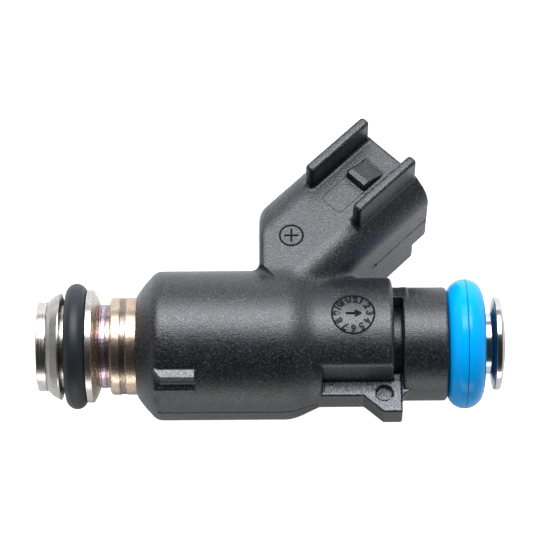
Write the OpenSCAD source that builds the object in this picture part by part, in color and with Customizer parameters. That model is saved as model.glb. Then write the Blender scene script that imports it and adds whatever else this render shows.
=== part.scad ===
// Port fuel injector, top feed, with a moulded side connector.
// Millimetres. +Z runs along the injector's axis to the fuel inlet, and z = 0 is the nozzle face.
// +X is the side the connector leans to, and +Y is the side of its latch.

/* [Nozzle end] */
// Radius of the tip cap
tip_r = 5.05; // [4.8:0.05:5.3]
// Thickness of the tip cap
tip_t = 1.08; // [0.9:0.01:1.3]
// Radius of the spray opening in the tip cap
spray_r = 1.9; // [1.5:0.1:2.4]
// Radius of the groove that holds the lower O-ring
groove_r = 4.72; // [4.6:0.01:4.8]
// Section diameter of the lower O-ring
lower_ring_d = 2.38; // [2.2:0.01:2.5]
// Radius of the flared edge of the lower seal retainer
retainer_r = 6.03; // [5.6:0.01:6.3]
// Height at which the retainer's flare ends
retainer_top = 2.62; // [2.3:0.01:2.8]
// Radius of the collar above the lower O-ring
collar_r = 6.37; // [6.1:0.01:6.5]
// Height of the collar's lower face
collar_z = 5.5; // [5.4:0.01:5.6]
// Thickness of the collar's rim
collar_t = 0.75; // [0.6:0.01:0.9]
// Radius of the bare neck above the collar
neck_r = 4.69; // [4.5:0.01:4.8]
// Radius of the coil housing's neck
shell_r = 5.5; // [5.3:0.01:5.6]
// Height at which the coil housing's neck starts
shell_z = 8.15; // [8:0.01:8.4]

/* [Overmold] */
// Height of the overmold's lower end
front_z = 11.05; // [11:0.01:11.3]
// Height at which the overmold reaches its full radius
full_z = 13.35; // [13.3:0.01:13.6]
// Radius of the overmold's lower barrel
body_r = 8.42; // [8.2:0.01:8.6]
// Height at which the barrel starts to narrow
taper_z = 27.7; // [27.5:0.1:28.5]
// Length of the narrowing stretch
taper_l = 3.9; // [3.5:0.1:4]
// Radius of the overmold's upper barrel
upper_r = 7.5; // [7.4:0.01:7.7]
// Height of the shoulder at the clip groove
shoulder_z = 39.75; // [39.6:0.01:39.9]
// Width of the clip groove
clip_w = 1.1; // [1:0.01:1.3]
// Radius left inside the clip groove
clip_core_r = 4.4; // [4.2:0.01:4.6]
// Where the clip groove's web starts, measured from the axis towards the connector
clip_web_x = 2.5; // [2:0.1:3]
// Radius of the cylinder that backs the upper O-ring
backing_r = 6.4; // [6.2:0.01:6.5]
// Height of that cylinder's upper end
backing_top = 45.9; // [45.8:0.01:46]

/* [Clip fin] */
// Turn of the fin's plane about the axis, away from the connector's plane
fin_turn = -4; // [-6:0.5:0]
// Distance of the flat on the fin's latch side from the axis
flat_x = 5.7; // [5.6:0.01:5.8]
// Distance of the flat on the fin's other side from the axis
flat_back_x = 4.3; // [4:0.01:5.2]
// Height at which the flats start
flat_z = 31.8; // [31.6:0.1:32.4]
// Thickness of the fin
fin_t = 2.6; // [2.4:0.1:2.9]
// Distance of the fin's edge from the axis
fin_x = 7.45; // [7.3:0.01:7.6]
// Distance of the lug's edge from the axis
lug_x = 9.5; // [9:0.01:9.7]
// Height of the lug's upper face
lug_top = 40.7; // [40.4:0.01:40.8]
// Radius of the round dimples in the lug's faces
dimple_r = 0.95; // [0.8:0.05:1.1]

/* [Key rib] */
// Distance of the key rib's latch side face from the axis
key_y = 5.9; // [5.7:0.01:6]
// Distance of the key rib's crest from the axis, away from the connector
key_x = 7.07; // [6.9:0.01:7.2]
// Height at which the key rib starts
key_z = 13.2; // [13:0.1:14]
// Height at which the key rib ends
key_top = 17.8; // [16:0.1:19]

/* [Connector] */
// Angle between the connector and the injector's axis
conn_angle = 45; // [45:1:46]
// Height at which the two axes cross
conn_z = 19; // [18.8:0.1:19.2]
// Distance of the connector's mouth from that crossing
conn_len = 29.7; // [29.4:0.1:30.2]
// Half the connector's width across its flat sides
conn_hw = 6.37; // [6.2:0.01:6.5]
// Half the connector's height, out to its latch face
conn_hy = 7.1; // [6.9:0.01:7.2]
// Radius of the connector's corners on the latch side
conn_corner = 3.7; // [3.2:0.1:3.8]
// Radius of the connector's corners on the other side
conn_low_corner = 1.5; // [1.2:0.1:2]
// Wall thickness around the socket
conn_wall = 1.6; // [1.4:0.1:1.8]
// Depth of the socket
socket_d = 10; // [9:0.1:11]
// Height of the flat face of the connector's root, which looks to the nozzle
root_z = 24.9; // [24.5:0.1:25.2]
// Length of the latch rails
rail_len = 9.5; // [9:0.05:9.8]
// How far the latch rails end before the mouth
rail_back = 0.25; // [0:0.05:0.5]
// Height of the latch rails above the latch face
rail_h = 3.6; // [3.2:0.1:3.8]
// Thickness of the latch rails
rail_t = 1.25; // [1.1:0.05:1.4]
// Gap between the latch rails
rail_gap = 6.1; // [5.8:0.1:6.3]
// Corner radius of the latch rails
rail_corner = 0.45; // [0.3:0.05:0.6]
// Width of the latch ramp
ramp_w = 2.5; // [2.2:0.1:2.8]
// Height of the latch ramp
ramp_h = 1.15; // [0.9:0.05:1.5]
// Distance of the latch ramp's thin end from the mouth
ramp_start = 2.6; // [2.4:0.05:3]
// Length of the latch ramp
ramp_len = 3.25; // [3:0.05:3.5]
// How far the side opposite the latch is cut back from the mouth
lip_back = 2.2; // [1.8:0.1:2.6]
// Distance between the two terminals
pin_pitch = 6; // [5.9:0.1:6.2]
// Width of a terminal blade
blade_w = 1.5; // [1.2:0.1:1.5]
// Thickness of a terminal blade
blade_t = 0.64; // [0.6:0.01:0.8]

/* [Inlet] */
// Outer radius of the inlet tube
inlet_r = 3.25; // [3.2:0.01:3.3]
// Inner radius of the inlet tube
inlet_bore_r = 2.4; // [2.35:0.01:2.45]
// Radius of the inlet flange
flange_r = 5.24; // [5:0.01:5.4]
// Height of the inlet flange's lower face
flange_z = 51.2; // [51.1:0.01:51.3]
// Height of the inlet flange's upper face
flange_top = 52.1; // [52:0.01:52.2]
// Height of the filter rim, the injector's upper end
rim_top = 52.3; // [52.25:0.01:52.5]
// Outer radius of the upper O-ring
upper_ring_r = 7.325; // [7.2:0.005:7.4]
// Section diameter of the upper O-ring
upper_ring_d = 4.16; // [4.1:0.01:4.2]

/* [Valve] */
// Radius of the valve ball
ball_r = 1.75; // [1.7:0.01:1.8]
// Radius of the armature
armature_r = 3.15; // [3.13:0.01:3.17]
// Lift of the valve
lift = 0.1; // [0.05:0.01:0.12]
// Gap between the armature and the pole piece when the valve is open
shut_gap = 0.03; // [0.02:0.01:0.05]
// Number of spray orifices in the director plate
orifices = 6; // [4:1:8]
// Number of coils in the return spring
spring_coils = 9; // [6:1:10]
// Wire diameter of the return spring
spring_wire = 0.45; // [0.4:0.01:0.5]

/* [Hidden] */
$fn = 96;
// A cut reaches this far past the faces it opens
past = 1;
// Gap left between faces that rest on each other but belong to different bodies
rest_gap = 0.02;
// The rails and the latch ramp reach this far into the connector's body
rail_foot = 1;
// Overmold: small edge break, collar of plastic at its lower end, and the lower chamfer
edge = 0.3;
front_r = 5.6;
chamfer_z = 11.5;
chamfer_r = 6.4;
taper_steps = 8;
clip_top = shoulder_z + clip_w;
flat_back_z = 32.4;
fin_run_z = 36.4;
fin_root_x = 4.5;
lug_z = 38.6;
lug_fillet = 1.4;
dimple_z = 38.7;
dimple_x = 7.05;
dimple_depth = 0.7;
// Key rib: where its face leaves the barrel, its sloped front end, and the lower step at its foot
key_root_x = 6;
key_slope = 0.75;
key_step_y = 4.5;
key_foot_x = 7.75;
key_foot_y = 4.1;
// Radius of the bore that the armature and the pole piece share
guide_r = 3.2;
// Valve: the seat's cone has its apex at cone_z, and the ball rests in it
plate_t = 0.2;
plate_z = tip_t;
seat_z = plate_z + plate_t;
seat_top = 3.6;
seat_r = 3.3;
cone_z = 1.2;
throat_r = 0.8;
ball_z = cone_z + ball_r * sqrt(2) + rest_gap;
guide_t = 0.8;
// Thickness of the lower seal retainer's sheet
retainer_t = 0.5;
guide_gap = 0.05;
flow_holes = 6;
flow_hole_r = 0.4;
flow_pcd_r = 2.5;
orifice_r = 0.12;
orifice_pcd_r = 0.55;
tube_r = 1.3;
tube_bore_r = 0.8;
tube_hole_r = 0.4;
tube_hole_z = 6.2;
tube_hole_step = 1.3;
tube_top = 12.2;
armature_z = 9.6;
armature_top = 17;
armature_step = 12.4;
spring_pocket_r = 1.95;
spring_top = 22.5;
spring_mean_r = 1.6;
spring_sides = 6;
spring_turn_steps = 16;
// Magnetic circuit
body_top = 13.2;
body_bore_r = guide_r;
collar_cone = 0.9;
nonmag_r = 3.7;
nonmag_z = 12;
nonmag_top = 19.5;
pole_z = armature_top + lift + shut_gap;
pole_shoulder_top = 28.2;
pole_top = 31;
tube_slot = 0.6;
adjuster_top = 30.5;
adjuster_bore_r = 1.1;
can_z = 13.2;
can_floor_t = 1;
can_r = 7.2;
can_wall = 0.6;
can_top = 28.2;
washer_t = 1;
bobbin_z = can_z + can_floor_t;
bobbin_top = can_top - washer_t;
bobbin_bore_r = 3.75;
bobbin_core_r = 4.35;
bobbin_flange_r = 6.5;
bobbin_flange_t = 0.8;
winding_r = 6.3;
// Terminals: a stub off the bobbin, a run over the can, and the blade in the socket
stub_x = 4.95;
run_z = 28.75;
blade_tip = 2.6;
// Filter
filter_sleeve_z = 49;
filter_z = 39.2;
filter_cap_t = 0.8;
filter_rim_r = 3.3;
filter_bore_r = 2.1;
filter_lip_r = 1.6;
filter_lip_t = 0.4;
filter_rib_r = 2.05;
filter_rib_w = 0.5;
filter_ribs = 4;
mesh_r = 1.78;
mesh_t = 0.12;
flare_z = 50.65;
// Small edge breaks, and the steps of the seat that the inlet flange holds the filter's rim in
fine_edge = 0.1;
metal_edge = 0.2;
flange_lip = 0.35;
flare_inset = 0.15;
filter_step_z = flange_top - 0.3;
filter_cone_z = flange_top - 0.9;

lower_ring_r = groove_r + lower_ring_d / 2;
lower_ring_z = collar_z - lower_ring_d / 2;
upper_ring_z = backing_top + upper_ring_d / 2;

// A round tube or disc from z0 to z1
module tube(r, bore, z0, z1) {
    translate([0, 0, z0]) difference() {
        cylinder(r = r, h = z1 - z0);
        if (bore > 0) translate([0, 0, -past]) cylinder(r = bore, h = z1 - z0 + 2 * past);
    }
}

// A rectangle with round corners, centred
module round_rect(w, h, r) {
    square([w - 2 * r, h], center = true);
    square([w, h - 2 * r], center = true);
    for (x = [-1, 1], y = [-1, 1])
        translate([x * (w / 2 - r), y * (h / 2 - r)]) circle(r = r);
}

// Outline of the connector: large corners on the latch side, small ones on the other
module conn_outline(w, h, r_latch, r_low) {
    translate([0, (h / 2 - r_latch) / 2]) square([w, h / 2 - r_latch], center = true);
    translate([0, -(h / 2 - r_low) / 2]) square([w, h / 2 - r_low], center = true);
    translate([0, h / 4]) square([w - 2 * r_latch, h / 2], center = true);
    translate([0, -h / 4]) square([w - 2 * r_low, h / 2], center = true);
    for (s = [-1, 1]) {
        translate([s * (w / 2 - r_latch), h / 2 - r_latch]) circle(r = r_latch);
        translate([s * (w / 2 - r_low), r_low - h / 2]) circle(r = r_low);
    }
}

// Puts its children on the connector's own axis: local z runs out of the mouth
module on_connector() {
    translate([0, 0, conn_z]) rotate([0, conn_angle, 0]) children();
}

// Points in the plane of the two axes, for extruding sideways
module sideways(t) {
    rotate([90, 0, 0]) linear_extrude(t, center = true) children();
}

// Outline of the overmold's barrel, with the smooth narrowing worked out from a cosine
module barrel() {
    taper = [for (i = [0 : taper_steps]) let (u = i / taper_steps)
        [upper_r + (body_r - upper_r) * (1 + cos(180 * u)) / 2, taper_z + taper_l * u]];
    rotate_extrude() polygon(concat(
        [[0, front_z], [front_r, front_z], [chamfer_r, chamfer_z], [body_r, full_z]],
        taper,
        [[upper_r, shoulder_z - edge], [upper_r - edge, shoulder_z], [0, shoulder_z]]));
}

// The core inside the clip groove, its web on the connector's side, and the O-ring's backing
module upper_neck() {
    tube(clip_core_r, 0, shoulder_z - past, clip_top + past);
    tube(backing_r, 0, clip_top, backing_top);
    intersection() {
        tube(backing_r, 0, shoulder_z - past, clip_top + past);
        translate([clip_web_x, -backing_r, shoulder_z - past])
            cube([backing_r, 2 * backing_r, clip_w + 2 * past]);
    }
}

// Flats on both sides of the fin
module flats() {
    translate([-flat_x - body_r, fin_t / 2, flat_z])
        cube([body_r, body_r, shoulder_z - flat_z + past]);
    // The other flat starts with a slope
    run = body_r - flat_back_x + past;
    translate([0, -(fin_t + body_r) / 2, 0]) sideways(body_r) polygon([
        [-flat_back_x, flat_back_z], [-flat_back_x, shoulder_z + past],
        [-flat_back_x - run, shoulder_z + past], [-flat_back_x - run, flat_back_z - run]
    ]);
}

// The fin and its lug, with the hollow fillet that joins the lug to the backing cylinder
module fin() {
    difference() {
        sideways(fin_t) difference() {
            polygon([
                [-fin_root_x, flat_z], [-fin_x, flat_z], [-fin_x, fin_run_z],
                [-lug_x, lug_z], [-lug_x, lug_top], [-backing_r - lug_fillet, lug_top],
                [-backing_r - lug_fillet, lug_top + lug_fillet],
                [-backing_r, lug_top + lug_fillet], [-fin_root_x, lug_top + lug_fillet]
            ]);
            translate([-backing_r - lug_fillet, lug_top + lug_fillet]) circle(r = lug_fillet);
        }
        for (s = [-1, 1])
            translate([-dimple_x, s * fin_t / 2, dimple_z]) rotate([90, 0, 0])
                cylinder(r = dimple_r, h = 2 * dimple_depth, center = true);
    }
}

// The key rib on the lower barrel, with a sloped front end, and the lower step along its foot
module key_rib() {
    intersection() {
        translate([0, 0, key_z]) linear_extrude(key_top - key_z) polygon([
            [-key_root_x, key_y], [-key_x, key_y], [-key_x, key_step_y],
            [-key_root_x, key_step_y]
        ]);
        sideways(4 * body_r) polygon([
            [0, key_z], [-key_root_x, key_z], [-key_x, key_z + key_slope],
            [-key_x, key_top], [0, key_top]
        ]);
    }
    translate([0, 0, key_z]) linear_extrude(key_top - key_z) polygon([
        [-key_root_x, key_step_y], [-key_x, key_step_y], [-key_foot_x, key_foot_y],
        [-key_foot_x, 0], [-key_root_x, 0]
    ]);
}

// The connector's outside, from inside the barrel to the mouth
module connector_body() {
    intersection() {
        on_connector() difference() {
            linear_extrude(conn_len)
                conn_outline(2 * conn_hw, 2 * conn_hy, conn_corner, conn_low_corner);
            translate([-conn_hw - past, -conn_hy - past, conn_len - lip_back])
                cube([2 * (conn_hw + past), conn_hy / 2 + past, lip_back + past]);
        }
        translate([0, -conn_hy - past, root_z])
            cube([2 * conn_len, 2 * (conn_hy + past), 2 * conn_len]);
    }
}

module rails() {
    h = rail_h + rail_foot;
    mid_z = conn_len - rail_back - rail_len / 2;
    for (s = [-1, 1])
        on_connector() translate([s * (rail_gap + rail_t) / 2, conn_hy - rail_foot, mid_z])
            rotate([0, 90, 0]) linear_extrude(rail_t, center = true)
                translate([0, h / 2]) round_rect(rail_len, h, rail_corner);
}

module latch_ramp() {
    thin = conn_len - ramp_start;
    on_connector() rotate([0, -90, 0]) linear_extrude(ramp_w, center = true)
        polygon([
            [thin, conn_hy - edge], [thin, conn_hy], [thin - ramp_len, conn_hy + ramp_h],
            [thin - ramp_len, conn_hy - edge]
        ]);
}

module socket() {
    on_connector() translate([0, 0, conn_len - socket_d])
        linear_extrude(socket_d + past)
            conn_outline(2 * (conn_hw - conn_wall), 2 * (conn_hy - conn_wall),
                conn_corner - conn_wall, conn_low_corner / 2);
}

// What the plastic is moulded around: the coil housing, the washer and the inlet tube
module core_space() {
    tube(shell_r, 0, front_z - past, can_z + past);
    tube(can_r, 0, can_z, can_top);
    tube(inlet_r, 0, can_top - past, backing_top + past);
}

module overmold_body() {
    color([0.07, 0.075, 0.08]) difference() {
        union() {
            difference() {
                barrel();
                rotate([0, 0, fin_turn]) flats();
            }
            key_rib();
            rotate([0, 0, fin_turn]) {
                upper_neck();
                fin();
            }
            connector_body();
            rails();
            latch_ramp();
        }
        core_space();
        socket();
        terminal(1);
        terminal(-1);
    }
}

// One bent strip, from the bobbin to the blade's tip; side is +1 or -1
module terminal(side) {
    h = blade_t / 2;
    bend_x = (run_z - conn_z) * tan(conn_angle);
    miter = h * tan((90 - conn_angle) / 2);
    along = [sin(conn_angle), cos(conn_angle)];
    across = [-cos(conn_angle), sin(conn_angle)];
    tip = [0, conn_z] + (conn_len - blade_tip) * along;
    translate([0, side * pin_pitch / 2, 0]) sideways(blade_w)
        polygon([
            [stub_x - h, bobbin_top], [stub_x - h, run_z + h], [bend_x - miter, run_z + h],
            tip + h * across, tip - h * across, [bend_x + miter, run_z - h],
            [stub_x + h, run_z - h], [stub_x + h, bobbin_top]
        ]);
}

module terminal_upper() {
    color([0.78, 0.76, 0.70]) terminal(1);
}

module terminal_lower() {
    color([0.78, 0.76, 0.70]) terminal(-1);
}

module inlet_tube() {
    flare = flange_z - flare_z;
    color([0.75, 0.76, 0.78]) rotate_extrude() difference() {
        polygon([
            [inlet_bore_r, pole_shoulder_top], [inlet_r, pole_shoulder_top], [inlet_r, flare_z],
            [flange_r - flange_lip, flange_z], [flange_r, flange_z + metal_edge],
            [flange_r, flange_top - metal_edge], [flange_r - metal_edge, flange_top],
            [filter_rim_r, flange_top], [filter_rim_r, filter_step_z],
            [inlet_bore_r, filter_cone_z]
        ]);
        translate([inlet_r + flare, flare_z]) circle(r = flare - flare_inset);
    }
}

module pole_piece() {
    color([0.62, 0.63, 0.65]) rotate_extrude() polygon([
        [spring_pocket_r, pole_z], [guide_r, pole_z], [guide_r, nonmag_top],
        [nonmag_r, nonmag_top], [nonmag_r, pole_shoulder_top], [inlet_bore_r, pole_shoulder_top],
        [inlet_bore_r, pole_top], [spring_pocket_r, pole_top]
    ]);
}

module adjusting_tube() {
    color([0.70, 0.70, 0.66]) difference() {
        tube(spring_pocket_r, adjuster_bore_r, spring_top, adjuster_top);
        translate([0, -tube_slot / 2, spring_top - past])
            cube([guide_r, tube_slot, adjuster_top - spring_top + 2 * past]);
    }
}

// Height of the spring's wire after u of its length, with closed end coils
function spring_rise(u) =
    let (n = spring_coils, dead = 1 / n,
         v = min(max((u - dead) / (1 - 2 * dead), 0), 1),
         closed = spring_wire * (min(u, dead) + max(u - 1 + dead, 0)) / dead)
    closed + v * (spring_top - armature_step - 2 * rest_gap - 3 * spring_wire);

module return_spring() {
    steps = spring_coils * spring_turn_steps;
    first = armature_step + rest_gap + spring_wire / 2;
    points = [for (i = [0 : steps], k = [0 : spring_sides - 1])
        let (a = 360 * i / spring_turn_steps, b = 360 * k / spring_sides,
             r = spring_mean_r + spring_wire / 2 * cos(b))
        [r * cos(a), r * sin(a), first + spring_rise(i / steps) + spring_wire / 2 * sin(b)]];
    sides = [for (i = [0 : steps - 1], k = [0 : spring_sides - 1])
        let (a = i * spring_sides, k2 = (k + 1) % spring_sides)
        [a + k, a + spring_sides + k, a + spring_sides + k2, a + k2]];
    ends = [[for (k = [0 : spring_sides - 1]) k],
        [for (k = [0 : spring_sides - 1]) (steps + 1) * spring_sides - 1 - k]];
    color([0.80, 0.80, 0.82]) polyhedron(points, concat(sides, ends), convexity = 10);
}

module armature() {
    color([0.66, 0.66, 0.68]) rotate_extrude() polygon([
        [tube_r, armature_z], [armature_r - edge, armature_z], [armature_r, armature_z + edge],
        [armature_r, armature_top], [spring_pocket_r, armature_top],
        [spring_pocket_r, armature_step], [tube_bore_r, armature_step],
        [tube_bore_r, tube_top], [tube_r, tube_top]
    ]);
}

module valve_tube() {
    color([0.72, 0.72, 0.74]) difference() {
        tube(tube_r, tube_bore_r, ball_z, tube_top);
        translate([0, 0, ball_z]) sphere(r = ball_r);
        for (i = [0 : 1])
            translate([0, 0, tube_hole_z + tube_hole_step * i]) rotate([90, 0, 90 * i])
                cylinder(r = tube_hole_r, h = 4 * tube_r, center = true);
    }
}

module valve_ball() {
    color([0.82, 0.82, 0.84]) translate([0, 0, ball_z]) sphere(r = ball_r);
}

module ball_guide() {
    color([0.68, 0.68, 0.70]) difference() {
        tube(seat_r, ball_r + guide_gap, seat_top, seat_top + guide_t);
        for (i = [0 : flow_holes - 1])
            rotate([0, 0, 360 * i / flow_holes]) translate([flow_pcd_r, 0, seat_top - past])
                cylinder(r = flow_hole_r, h = guide_t + 2 * past);
    }
}

module valve_seat() {
    color([0.74, 0.74, 0.76]) rotate_extrude() polygon([
        [throat_r, seat_z], [seat_r, seat_z], [seat_r, seat_top],
        [seat_top - cone_z, seat_top], [throat_r, cone_z + throat_r]
    ]);
}

module director_plate() {
    color([0.76, 0.74, 0.68]) difference() {
        tube(seat_r, 0, plate_z, plate_z + plate_t);
        for (i = [0 : orifices - 1])
            rotate([0, 0, 360 * i / orifices]) translate([orifice_pcd_r, 0, plate_z - past])
                cylinder(r = orifice_r, h = plate_t + 2 * past);
    }
}

module tip_cap() {
    color([0.70, 0.68, 0.64]) rotate_extrude() polygon([
        [spray_r, 0], [tip_r - metal_edge, 0], [tip_r, metal_edge], [tip_r, tip_t - fine_edge],
        [tip_r - fine_edge, tip_t], [spray_r, tip_t]
    ]);
}

module valve_body() {
    seat_bore_top = seat_top + guide_t;
    color([0.70, 0.71, 0.73]) rotate_extrude() polygon([
        [seat_r, tip_t], [groove_r, tip_t], [groove_r, collar_z], [collar_r, collar_z],
        [collar_r, collar_z + collar_t], [neck_r, collar_z + collar_t + collar_cone],
        [neck_r, body_top], [nonmag_r, body_top], [nonmag_r, nonmag_z],
        [body_bore_r, nonmag_z], [body_bore_r, seat_bore_top], [seat_r, seat_bore_top]
    ]);
}

module nonmagnetic_shell() {
    color([0.60, 0.58, 0.52]) tube(nonmag_r, guide_r, nonmag_z, nonmag_top);
}

module coil_housing() {
    color([0.62, 0.52, 0.38]) rotate_extrude() polygon([
        [neck_r, shell_z], [shell_r - metal_edge, shell_z], [shell_r, shell_z + metal_edge],
        [shell_r, can_z], [can_r, can_z], [can_r, can_top], [can_r - can_wall, can_top],
        [can_r - can_wall, bobbin_z], [neck_r, bobbin_z]
    ]);
}

module flux_washer() {
    window_w = 2.4;
    window_l = 1.6;
    color([0.55, 0.56, 0.58]) difference() {
        tube(can_r - can_wall, nonmag_r, bobbin_top, can_top);
        for (s = [-1, 1])
            translate([stub_x - window_l / 2, s * pin_pitch / 2 - window_w / 2, bobbin_top - past])
                cube([window_l, window_w, washer_t + 2 * past]);
    }
}

module coil_bobbin() {
    color([0.16, 0.16, 0.17]) rotate_extrude() polygon([
        [bobbin_bore_r, bobbin_z], [bobbin_flange_r, bobbin_z],
        [bobbin_flange_r, bobbin_z + bobbin_flange_t], [bobbin_core_r, bobbin_z + bobbin_flange_t],
        [bobbin_core_r, bobbin_top - bobbin_flange_t], [bobbin_flange_r, bobbin_top - bobbin_flange_t],
        [bobbin_flange_r, bobbin_top], [bobbin_bore_r, bobbin_top]
    ]);
}

module coil_winding() {
    color([0.72, 0.36, 0.16])
        tube(winding_r, bobbin_core_r, bobbin_z + bobbin_flange_t, bobbin_top - bobbin_flange_t);
}

module filter_frame() {
    cap_top = filter_z + filter_cap_t;
    color([0.20, 0.36, 0.60]) {
        rotate_extrude() polygon([
            [filter_lip_r, filter_sleeve_z], [inlet_bore_r, filter_sleeve_z],
            [inlet_bore_r, filter_cone_z], [filter_rim_r, filter_step_z],
            [filter_rim_r, rim_top - fine_edge], [filter_rim_r - fine_edge, rim_top],
            [filter_bore_r + fine_edge, rim_top], [filter_bore_r, rim_top - fine_edge],
            [filter_bore_r, filter_sleeve_z + filter_lip_t],
            [filter_lip_r, filter_sleeve_z + filter_lip_t]
        ]);
        for (i = [0 : filter_ribs - 1])
            rotate([0, 0, 360 * (i + 0.5) / filter_ribs]) difference() {
                translate([0, -filter_rib_w / 2, filter_z + fine_edge])
                    cube([filter_rib_r, filter_rib_w, filter_sleeve_z - filter_z]);
                tube(mesh_r, 0, cap_top, rim_top);
            }
        tube(filter_rib_r, 0, filter_z, cap_top);
    }
}

module filter_mesh() {
    color([0.80, 0.80, 0.78]) tube(mesh_r, mesh_r - mesh_t, filter_z + filter_cap_t, filter_sleeve_z);
}

module lower_seal_retainer() {
    base = tip_t + rest_gap;
    top = base + retainer_t;
    color([0.66, 0.64, 0.62]) rotate_extrude() polygon([
        [groove_r, base], [tip_r, base], [tip_r + retainer_t, top],
        [retainer_r, retainer_top - fine_edge], [retainer_r, retainer_top],
        [retainer_r - metal_edge, retainer_top], [tip_r + retainer_t / 2, top + metal_edge],
        [groove_r + metal_edge, top], [groove_r, top]
    ]);
}

module lower_o_ring() {
    color([0.10, 0.12, 0.13]) rotate_extrude()
        translate([lower_ring_r, lower_ring_z]) circle(d = lower_ring_d);
}

module upper_o_ring() {
    color([0.05, 0.55, 0.95]) rotate_extrude() difference() {
        translate([upper_ring_r - upper_ring_d / 2, upper_ring_z]) circle(d = upper_ring_d);
        translate([0, backing_top - past]) square([inlet_r, upper_ring_d + 2 * past]);
    }
}

overmold_body();
inlet_tube();
pole_piece();
adjusting_tube();
return_spring();
armature();
valve_tube();
valve_ball();
ball_guide();
valve_seat();
director_plate();
tip_cap();
valve_body();
nonmagnetic_shell();
coil_housing();
flux_washer();
coil_bobbin();
coil_winding();
terminal_upper();
terminal_lower();
filter_frame();
filter_mesh();
lower_seal_retainer();
lower_o_ring();
upper_o_ring();
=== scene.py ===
"""Looks of the fuel injector: detailed pieces, materials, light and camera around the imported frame.

Shapes are worked out in millimetres in the row frame (+Z to the fuel inlet, +X to the connector's side,
+Y to its latch) and turned into metres when a mesh is made.
"""

import math

import bpy
import numpy as np
from mathutils import Matrix, Vector


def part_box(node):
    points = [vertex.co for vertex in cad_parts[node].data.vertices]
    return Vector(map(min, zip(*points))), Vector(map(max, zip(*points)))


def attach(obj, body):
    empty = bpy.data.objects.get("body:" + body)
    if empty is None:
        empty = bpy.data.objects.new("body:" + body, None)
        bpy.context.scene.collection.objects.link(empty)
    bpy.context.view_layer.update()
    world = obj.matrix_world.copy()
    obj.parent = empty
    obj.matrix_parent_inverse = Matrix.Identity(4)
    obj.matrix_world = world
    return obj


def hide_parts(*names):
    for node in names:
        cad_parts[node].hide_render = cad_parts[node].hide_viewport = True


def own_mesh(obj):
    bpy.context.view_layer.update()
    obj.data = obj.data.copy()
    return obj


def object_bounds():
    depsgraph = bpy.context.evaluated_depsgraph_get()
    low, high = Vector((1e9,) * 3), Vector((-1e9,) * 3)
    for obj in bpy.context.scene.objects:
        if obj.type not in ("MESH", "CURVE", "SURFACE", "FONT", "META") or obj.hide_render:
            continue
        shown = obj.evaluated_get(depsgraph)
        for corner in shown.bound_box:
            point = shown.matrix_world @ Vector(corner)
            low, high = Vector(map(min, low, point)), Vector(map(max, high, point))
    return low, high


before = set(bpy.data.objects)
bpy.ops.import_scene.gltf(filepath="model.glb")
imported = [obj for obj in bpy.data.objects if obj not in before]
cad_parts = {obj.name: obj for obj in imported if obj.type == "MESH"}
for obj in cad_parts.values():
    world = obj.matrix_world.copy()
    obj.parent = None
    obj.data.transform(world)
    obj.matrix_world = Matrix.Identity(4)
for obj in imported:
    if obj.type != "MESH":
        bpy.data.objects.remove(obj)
CAD_LOW, CAD_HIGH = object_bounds()
MM = 0.001
HOUSING = "housing"

# -------------------- sizes of the CAD model, in millimetres
TIP_R, TIP_T, SPRAY_R = 5.05, 1.08, 1.9
GROOVE_R, LOWER_RING_D = 4.72, 2.38
RETAINER_R, RETAINER_T, RETAINER_TOP = 6.03, 0.5, 2.62
COLLAR_R, COLLAR_Z, COLLAR_T, COLLAR_CONE = 6.37, 5.5, 0.75, 0.9
NECK_R, SHELL_R, SHELL_Z = 4.69, 5.5, 8.15
SEAT_R, SEAT_BORE_TOP, GUIDE_R = 3.3, 4.4, 3.2
NONMAG_R, NONMAG_Z, BODY_TOP = 3.7, 12.0, 13.2
FRONT_Z, FRONT_R, CHAMFER_Z, CHAMFER_R = 11.05, 5.6, 11.5, 6.4
FULL_Z, BODY_R, TAPER_Z, TAPER_L, UPPER_R = 13.35, 8.42, 27.7, 3.9, 7.5
SHOULDER_Z, CLIP_W, CLIP_CORE_R, CLIP_WEB_X = 39.75, 1.1, 4.4, 2.5
CLIP_TOP = SHOULDER_Z + CLIP_W
BACKING_R, BACKING_TOP = 6.4, 45.9
FIN_TURN = math.radians(-4)
FLAT_X, FLAT_BACK_X, FLAT_Z, FLAT_BACK_Z = 5.7, 4.3, 31.8, 32.4
FIN_T, FIN_X, FIN_RUN_Z, FIN_ROOT_X, WEB_T = 2.6, 7.45, 36.4, 4.5, 1.6
LUG_X, LUG_Z, LUG_TOP, LUG_FILLET = 9.5, 38.6, 40.7, 1.4
DIMPLE_R, DIMPLE_X, DIMPLE_Z, DIMPLE_DEPTH = 0.95, 7.05, 38.7, 0.7
KEY_Z, KEY_TOP, KEY_X, KEY_Y, KEY_ROOT_X, KEY_SLOPE = 13.2, 17.8, 7.07, 5.9, 6.0, 0.75
KEY_STEP_Y, KEY_FOOT_X, KEY_FOOT_Y = 4.5, 7.75, 4.1
CONN_ANGLE, CONN_Z, CONN_LEN, CONN_HW, CONN_HY = math.radians(45), 19.0, 29.7, 6.37, 7.1
CONN_CORNER, CONN_LOW_CORNER, CONN_WALL, SOCKET_D = 3.7, 1.5, 1.6, 10.0
ROOT_Z, LIP_BACK = 24.9, 2.2
RAIL_LEN, RAIL_BACK, RAIL_H, RAIL_T, RAIL_GAP = 9.5, 0.25, 3.6, 1.25, 6.1
RAMP_W, RAMP_H, RAMP_START, RAMP_LEN = 2.5, 1.15, 2.6, 3.25
PIN_PITCH, BLADE_W, BLADE_T, BLADE_TIP = 6.0, 1.5, 0.64, 2.6
STUB_X, STUB_Z, RUN_Z = 4.95, 27.2, 28.75
CAN_Z, CAN_FLOOR_T, CAN_R, CAN_WALL, CAN_TOP = 13.2, 1.0, 7.2, 0.6, 28.2
INLET_R, INLET_BORE_R, FLARE_Z, NECK_FILLET_R = 3.25, 2.4, 50.8, 3.45
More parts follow.
